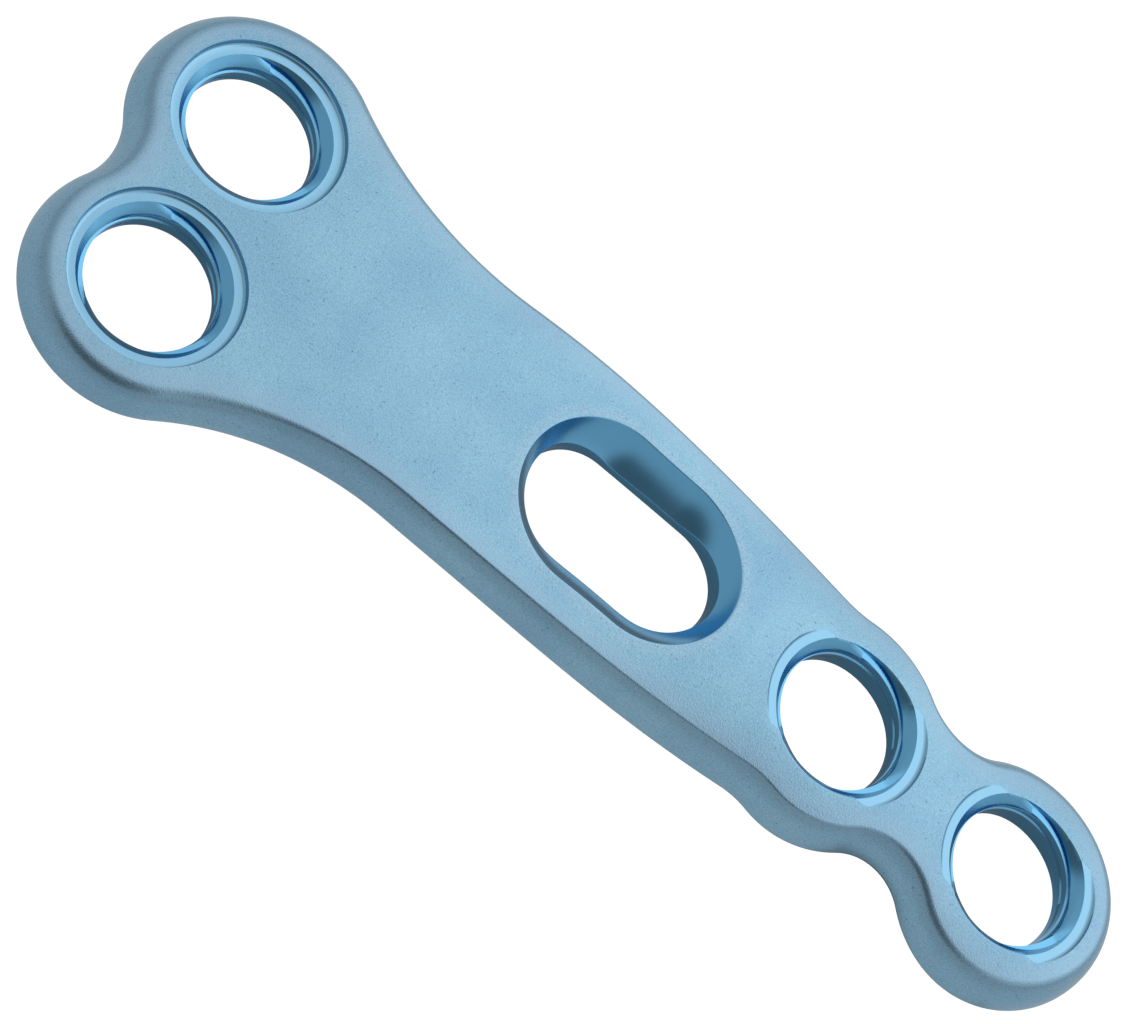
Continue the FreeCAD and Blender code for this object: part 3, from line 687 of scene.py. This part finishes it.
# Painted edge sheen together with wear: the edge tint, broken up by the patch noise, greys the
# rims.
worn_edge_and_sheen = add_node(tree, "ShaderNodeMath",
                     [(0, edge_sheen.outputs["Fac"]), (1, patch.outputs["Fac"])],
                     operation="MULTIPLY")
rimmed = add_node(tree, "ShaderNodeMix", [(0, worn_edge_and_sheen.outputs[0]), (6, flecked.outputs[0])],
                  data_type="RGBA", in_7=linear(WORN_EDGE_AND_SHEEN))
scuff_spots = add_node(tree, "ShaderNodeMapRange", [("Value", patch.outputs["Fac"])],
                       **RUBBED_SPOTS)
scuffed = add_node(tree, "ShaderNodeMath",
                   [(0, slot_scuff.outputs["Fac"]), (1, scuff_spots.outputs["Result"])],
                   operation="MULTIPLY")
colour = add_node(tree, "ShaderNodeMix", [(0, scuffed.outputs[0]), (6, rimmed.outputs[2])],
                  data_type="RGBA", in_7=linear(RUBBED))
hue = add_node(tree, "ShaderNodeValToRGB", [("Fac", machined.outputs["Fac"])])
hue.color_ramp.elements[0].position = FLOOR_SHARE
hue.color_ramp.elements[1].position = SEAT_SHARE
hue.color_ramp.elements[0].color = linear(CUT_FLOOR)
hue.color_ramp.elements[1].color = linear(CUT_SEAT)
is_cut = add_node(tree, "ShaderNodeMath", [(0, machined.outputs["Fac"])], operation="MULTIPLY",
                  use_clamp=True, in_1=1.0 / FLOOR_SHARE)
cut_blue = add_node(tree, "ShaderNodeMix",
                    [(0, is_cut.outputs[0]), (6, colour.outputs[2]), (7, hue.outputs["Color"])],
                    data_type="RGBA")
gloss = add_node(tree, "ShaderNodeMapRange", [("Value", is_cut.outputs[0])],
                 in_3=BLASTED_ROUGHNESS, in_4=CUT_ROUGHNESS)
relief = add_node(tree, "ShaderNodeMapRange", [("Value", is_cut.outputs[0])],
                  in_3=BLASTED_RELIEF, in_4=CUT_RELIEF)
bump = add_node(tree, "ShaderNodeBump",
                [("Height", grain.outputs["Fac"]), ("Strength", relief.outputs["Result"])],
                in_Distance=PIT_DEPTH)
metal = add_node(tree, "ShaderNodeBsdfPrincipled",
                 [("Base Color", cut_blue.outputs[2]), ("Roughness", gloss.outputs["Result"]),
                  ("Normal", bump.outputs["Normal"])],
                 in_Metallic=1.0)
add_node(tree, "ShaderNodeOutputMaterial", [("Surface", metal.outputs[0])])
plate_mesh.materials.append(titanium)
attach(plate, "root")
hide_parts("bone_plate")


# The table: a plain pale sweep of paper. The camera sees it white, with a faint shadow of
# the plate. The metal mirrors it as a dim white, darker in a strip close under the plate,
# where the real plate shades its paper.

HALF_TABLE, TABLE_LEVEL = 1.5, -2e-5
PAPER, PAPER_GLOW, WHITE = "#f2f2f2", 1.15, "#ffffff"
CAMERA_SHARE, MIRRORED_SHARE = 0.9, 0.8      # how far each look replaces the lit paper
HEAD_START, HEAD_END, HEAD_SHARE = -0.011, -0.007, 0.55  # the strip is wider at the head
STRIP_HALF_LENGTH = 0.0110
STRIP_START, STRIP_END = 0.0018, 0.0034      # metres off the middle line
STRIP_LIGHT, OPEN_LIGHT = 0.16, 0.64         # what the metal mirrors of them
floor_mesh = bpy.data.meshes.new("table_paper")
table_corners = [(x * HALF_TABLE, y * HALF_TABLE, TABLE_LEVEL)
                 for x, y in ((-1, -1), (1, -1), (1, 1), (-1, 1))]
floor_mesh.from_pydata(table_corners, [], [(0, 1, 2, 3)])
table = bpy.data.objects.new("table_paper", floor_mesh)
bpy.context.scene.collection.objects.link(table)
paper = bpy.data.materials.new("white_paper")
paper.use_nodes = True
tree = paper.node_tree
tree.nodes.clear()
sight = add_node(tree, "ShaderNodeLightPath")
matt = add_node(tree, "ShaderNodeBsdfDiffuse", in_Color=linear(PAPER))
glow = add_node(tree, "ShaderNodeEmission", in_Color=linear(WHITE), in_Strength=PAPER_GLOW)
spot = add_node(tree, "ShaderNodeTexCoord")
axes = add_node(tree, "ShaderNodeSeparateXYZ", [("Vector", spot.outputs["Object"])])
narrowing = add_node(tree, "ShaderNodeMapRange", [("Value", axes.outputs["X"])],
                     in_1=HEAD_START, in_2=HEAD_END, in_3=HEAD_SHARE, in_4=1.0)
aside = add_node(tree, "ShaderNodeMath", [(0, axes.outputs["Y"]), (1, narrowing.outputs["Result"])],
                 operation="MULTIPLY")
to_side = add_node(tree, "ShaderNodeMath", [(0, aside.outputs[0])], operation="ABSOLUTE")
to_end = add_node(tree, "ShaderNodeMath", [(0, axes.outputs["X"])], operation="ABSOLUTE")
past_end = add_node(tree, "ShaderNodeMath", [(0, to_end.outputs[0])], operation="SUBTRACT",
                    in_1=STRIP_HALF_LENGTH)
away = add_node(tree, "ShaderNodeMath", [(0, to_side.outputs[0]), (1, past_end.outputs[0])],
                operation="MAXIMUM")
open_paper = add_node(tree, "ShaderNodeMapRange", [("Value", away.outputs[0])],
                      interpolation_type="SMOOTHSTEP", in_1=STRIP_START, in_2=STRIP_END,
                      in_3=STRIP_LIGHT, in_4=OPEN_LIGHT)
mirrored = add_node(tree, "ShaderNodeEmission", [("Strength", open_paper.outputs["Result"])],
                    in_Color=linear(WHITE))
seen = add_node(tree, "ShaderNodeMath", [(0, sight.outputs["Is Camera Ray"])],
                operation="MULTIPLY", in_1=CAMERA_SHARE)
caught = add_node(tree, "ShaderNodeMath", [(0, sight.outputs["Is Glossy Ray"])],
                  operation="MULTIPLY", in_1=MIRRORED_SHARE)
lit = add_node(tree, "ShaderNodeMixShader",
               [(0, caught.outputs[0]), (1, matt.outputs[0]), (2, mirrored.outputs[0])])
both = add_node(tree, "ShaderNodeMixShader",
                [(0, seen.outputs[0]), (1, lit.outputs[0]), (2, glow.outputs[0])])
add_node(tree, "ShaderNodeOutputMaterial", [("Surface", both.outputs[0])])
floor_mesh.materials.append(paper)


# The light: one broad softbox above and behind, in a pale room. The room is white to the
# camera. To the metal it is grey, brighter towards the lamp and dark round the lens, which
# gives the rolled edges and the cut walls their darker sides.

LAMP_WAY, LENS_WAY = (0.30, 0.50, 0.81), (-0.05, -0.47, 0.88)
LAMP_SIDE = dict(in_1=0.30, in_2=0.92, in_3=0.50, in_4=0.92)       # from cosine to strength
LENS_SIDE = dict(in_1=0.79, in_2=0.93, in_3=1.0, in_4=0.29)
LAMP_PLACE, LAMP_AIM = (0.24, 0.26, 0.34), (0.0, 0.0, 0.0)
LAMP_WIDTH, LAMP_HEIGHT, LAMP_POWER = 0.50, 0.42, 0.22
world = bpy.data.worlds.new("pale_room")
bpy.context.scene.world = world
world.use_nodes = True
tree = world.node_tree
tree.nodes.clear()
sight = add_node(tree, "ShaderNodeLightPath")
bearing = add_node(tree, "ShaderNodeTexCoord")
toward_lamp = add_node(tree, "ShaderNodeVectorMath", [(0, bearing.outputs["Generated"])],
                       operation="DOT_PRODUCT", in_1=LAMP_WAY)
rising = add_node(tree, "ShaderNodeMapRange", [("Value", toward_lamp.outputs["Value"])],
                  interpolation_type="SMOOTHSTEP", **LAMP_SIDE)
toward_lens = add_node(tree, "ShaderNodeVectorMath", [(0, bearing.outputs["Generated"])],
                       operation="DOT_PRODUCT", in_1=LENS_WAY)
shade = add_node(tree, "ShaderNodeMapRange", [("Value", toward_lens.outputs["Value"])],
                 interpolation_type="SMOOTHSTEP", **LENS_SIDE)
strength = add_node(tree, "ShaderNodeMath",
                    [(0, rising.outputs["Result"]), (1, shade.outputs["Result"])],
                    operation="MULTIPLY")
room = add_node(tree, "ShaderNodeBackground", [("Strength", strength.outputs[0])],
                in_Color=linear(WHITE))
white = add_node(tree, "ShaderNodeBackground", in_Color=linear(WHITE), in_Strength=1.0)
both = add_node(tree, "ShaderNodeMixShader",
                [(0, sight.outputs["Is Camera Ray"]), (1, room.outputs[0]), (2, white.outputs[0])])
add_node(tree, "ShaderNodeOutputWorld", [("Surface", both.outputs[0])])


def softbox(name, place, aim, width, height, power):
    """One rectangular lamp at a place, turned to face its aim. The camera doesn't see it."""
    lamp = bpy.data.lights.new(name, "AREA")
    lamp.shape, lamp.size, lamp.size_y, lamp.energy = "RECTANGLE", width, height, power
    holder = bpy.data.objects.new(name, lamp)
    holder.location = place
    holder.rotation_mode = "QUATERNION"
    holder.rotation_quaternion = (Vector(aim) - Vector(place)).to_track_quat("-Z", "Y")
    holder.visible_camera = False
    bpy.context.scene.collection.objects.link(holder)


softbox("softbox_behind", LAMP_PLACE, LAMP_AIM, LAMP_WIDTH, LAMP_HEIGHT, LAMP_POWER)


# The camera stands where the photographer's stood: high on the right-hand side of the head,
# far off with a long lens, so that the lines hardly draw together. Its angles, scale and place
# were fitted to the outline and to the rims of the holes.

VIEW_TURN, VIEW_LEAN, VIEW_SWING = (math.radians(v) for v in (32.80, 31.63, 13.02))
PIXELS_PER_MM = 43.4
SHRINKING = 7.8e-5           # share of its size that a thing loses for each pixel further off
VIEW_DISTANCE = 1 / SHRINKING / PIXELS_PER_MM
FRAME_WIDTH, FRAME_HEIGHT = 1128, 1024       # the photo's own pixels
ORIGIN_IN_FRAME = (632.6, 530.1)             # pixel at which the plate's middle stands
FILM_WIDTH = 36.0
NEAR_LIMIT, FAR_LIMIT = 0.01, 10.0           # metres
first = Vector((math.cos(VIEW_SWING), 0.0, math.sin(VIEW_SWING)))
second = Vector((-math.sin(VIEW_LEAN) * math.sin(VIEW_SWING), math.cos(VIEW_LEAN),
                 math.sin(VIEW_LEAN) * math.cos(VIEW_SWING)))
back = first.cross(second)
right = first * math.cos(VIEW_TURN) + second * math.sin(VIEW_TURN)
up = back.cross(right)
slide_right = (FRAME_WIDTH / 2 - ORIGIN_IN_FRAME[0]) / PIXELS_PER_MM
slide_up = (ORIGIN_IN_FRAME[1] - FRAME_HEIGHT / 2) / PIXELS_PER_MM
stand = Vector((0, 0, MIDDLE_TOP)) + back * VIEW_DISTANCE + right * slide_right + up * slide_up
camera = bpy.data.objects.new("camera", bpy.data.cameras.new("camera"))
camera.data.sensor_width = FILM_WIDTH
camera.data.lens = FILM_WIDTH * PIXELS_PER_MM * VIEW_DISTANCE / FRAME_WIDTH
camera.data.clip_start, camera.data.clip_end = NEAR_LIMIT, FAR_LIMIT
camera.matrix_world = (Matrix.Translation(stand * MILLIMETRE)
                       @ Matrix((right, up, back)).transposed().to_4x4())
bpy.context.scene.collection.objects.link(camera)
bpy.context.scene.camera = camera
bpy.context.scene.view_settings.view_transform = "Standard"
